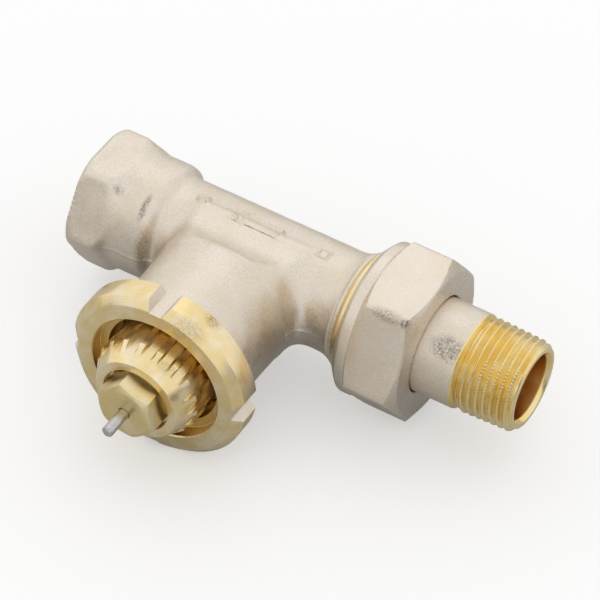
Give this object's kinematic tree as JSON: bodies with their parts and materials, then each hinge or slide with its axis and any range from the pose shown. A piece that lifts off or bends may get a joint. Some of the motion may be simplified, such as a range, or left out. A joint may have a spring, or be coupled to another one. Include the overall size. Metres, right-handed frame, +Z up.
{
  "type": "radiator valve",
  "caption": "Straight brass radiator valve body with a sprung pressure pin, a female hex inlet and a union tailpiece with a male taper thread.",
  "frame": {"origin": "middle of the inlet thread's mouth, on the pipe's axis", "axes": "+X along the pipe from the inlet to the tailpiece, -Y along the stem out of the neck, +Z up on the side that bears the flow arrow"},
  "size_m": [0.085, 0.0621, 0.0328],
  "materials": {
    "nickel": "satin nickel plate on forged brass",
    "brass": "bright turned brass",
    "steel": "polished stainless steel",
    "rubber": "black sealing rubber",
    "plastic": "white bearing plastic"
  },
  "bodies": {
    "body": {"valve_body": "nickel", "bonnet": "brass", "head_seal": "rubber", "guide_bush": "brass", "gland_nut": "brass", "gland_o_ring": "rubber", "pin_o_ring": "rubber", "back_up_ring": "plastic", "gland_bush": "plastic", "return_spring": "steel"},
    "stem": {"pressure_pin": "steel", "spindle": "brass", "spring_plate": "steel", "retaining_ring": "steel", "valve_cone": "brass", "seat_disc": "rubber", "disc_washer": "brass", "disc_nut": "brass"},
    "nut": {"union_nut": "nickel"},
    "tail": {"tailpiece": "nickel", "union_o_ring": "rubber"}
  },
  "joints": [
    {"name": "stem_travel", "type": "slide", "parent": "body", "child": "stem", "axis": [0, 1, 0], "range_m": [0, 0.002], "stiffness_N_per_m": 5000, "springref_m": -0.002, "deforming": ["return_spring"]},
    {"name": "nut_turn", "type": "hinge", "parent": "body", "child": "nut", "pos_m": [0.06, 0, 0], "axis": [1, 0, 0], "continuous": true},
    {"name": "tail_swivel", "type": "hinge", "parent": "body", "child": "tail", "pos_m": [0.072, 0, 0], "axis": [1, 0, 0], "continuous": true}
  ]
}
